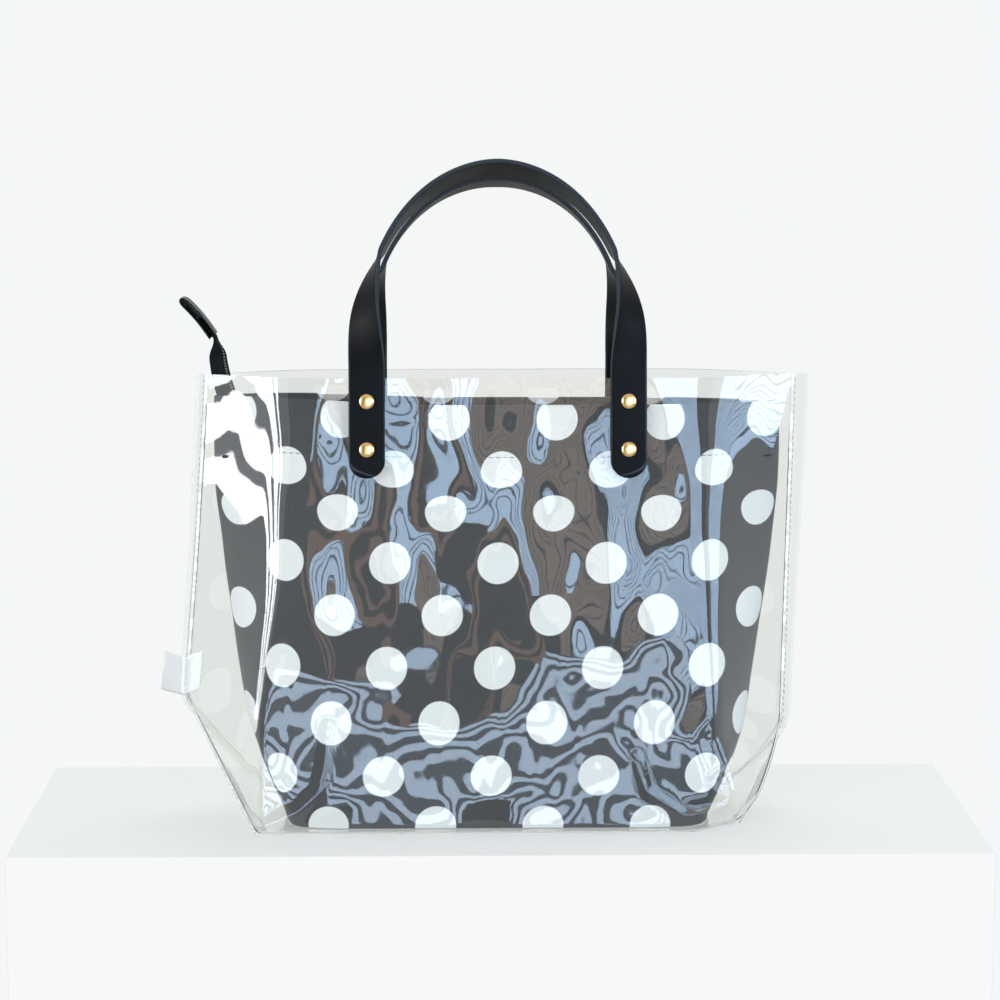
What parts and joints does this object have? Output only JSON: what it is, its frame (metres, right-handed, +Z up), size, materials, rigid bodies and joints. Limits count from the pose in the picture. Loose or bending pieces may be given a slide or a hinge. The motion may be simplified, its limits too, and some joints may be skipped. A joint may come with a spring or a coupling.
{
  "type": "clear tote bag with zip pouch",
  "caption": "Clear vinyl tote bag with riveted strap handles, gusseted ends and a removable fabric zip pouch standing inside it.",
  "frame": {"origin": "centre of the tote's base, on the surface it stands on", "axes": "+Z up, front towards -Y, +X along the rim to the right as seen from the front"},
  "size_m": [0.3412, 0.1036, 0.349],
  "materials": {
    "clear_pvc": "clear glossy flexible PVC sheet",
    "clear_binding": "clear glossy PVC binding",
    "tag_cloth": "white woven tape, bare",
    "strap_leather": "black fine-grained PU leather, satin",
    "rivet_gold": "polished gold-coloured plating",
    "pouch_cloth": "black twill printed with plain white dots",
    "zip_tape": "black woven zip tape",
    "zip_coil": "black nylon coil",
    "zip_metal": "black enamelled zinc",
    "tab_leather": "black glossy PU leather"
  },
  "bodies": {
    "bag": {"clear_body": "clear_pvc", "left_side_binding": "clear_binding", "right_side_binding": "clear_binding", "left_corner_binding": "clear_binding", "right_corner_binding": "clear_binding", "seam_tag": "tag_cloth", "front_strap_left_end": "strap_leather", "front_strap_right_end": "strap_leather", "back_strap_left_end": "strap_leather", "back_strap_right_end": "strap_leather", "front_rivet_caps": "rivet_gold", "front_rivet_studs": "rivet_gold", "back_rivet_caps": "rivet_gold", "back_rivet_studs": "rivet_gold", "pouch_body": "pouch_cloth", "pouch_facing": "pouch_cloth", "front_zip_panel": "pouch_cloth", "back_zip_panel": "pouch_cloth", "front_zip_tape": "zip_tape", "back_zip_tape": "zip_tape", "front_zip_coil": "zip_coil", "back_zip_coil": "zip_coil", "zip_stop": "zip_metal", "zip_tail": "zip_tape", "zip_tail_coil": "zip_coil"},
    "front_handle": {"front_strap_grip": "strap_leather"},
    "back_handle": {"back_strap_grip": "strap_leather"},
    "zip_slider": {"zip_slider": "zip_metal"},
    "zip_pull": {"zip_pull": "zip_metal"},
    "tail_tab": {"zip_tail_tip": "zip_tape", "tail_end_tab": "tab_leather"}
  },
  "joints": [
    {"name": "front_handle_fold", "type": "hinge", "parent": "bag", "child": "front_handle", "pos_m": [0, -0.02802, 0.24061], "axis": [1, 0, 0], "range_deg": [0, 120]},
    {"name": "back_handle_fold", "type": "hinge", "parent": "bag", "child": "back_handle", "pos_m": [0, 0.02802, 0.24061], "axis": [-1, 0, 0], "range_deg": [0, 120]},
    {"name": "zip_slide", "type": "slide", "parent": "bag", "child": "zip_slider", "axis": [-1, 0, 0], "range_m": [0, 0.205]},
    {"name": "zip_pull_swing", "type": "hinge", "parent": "zip_slider", "child": "zip_pull", "pos_m": [0.1125, 0, 0.1982], "axis": [0, 1, 0], "range_deg": [0, 165]},
    {"name": "tail_tab_bend", "type": "hinge", "parent": "bag", "child": "tail_tab", "pos_m": [-0.148, 0, 0.256], "axis": [0, 1, 0], "range_deg": [-60, 100]}
  ]
}
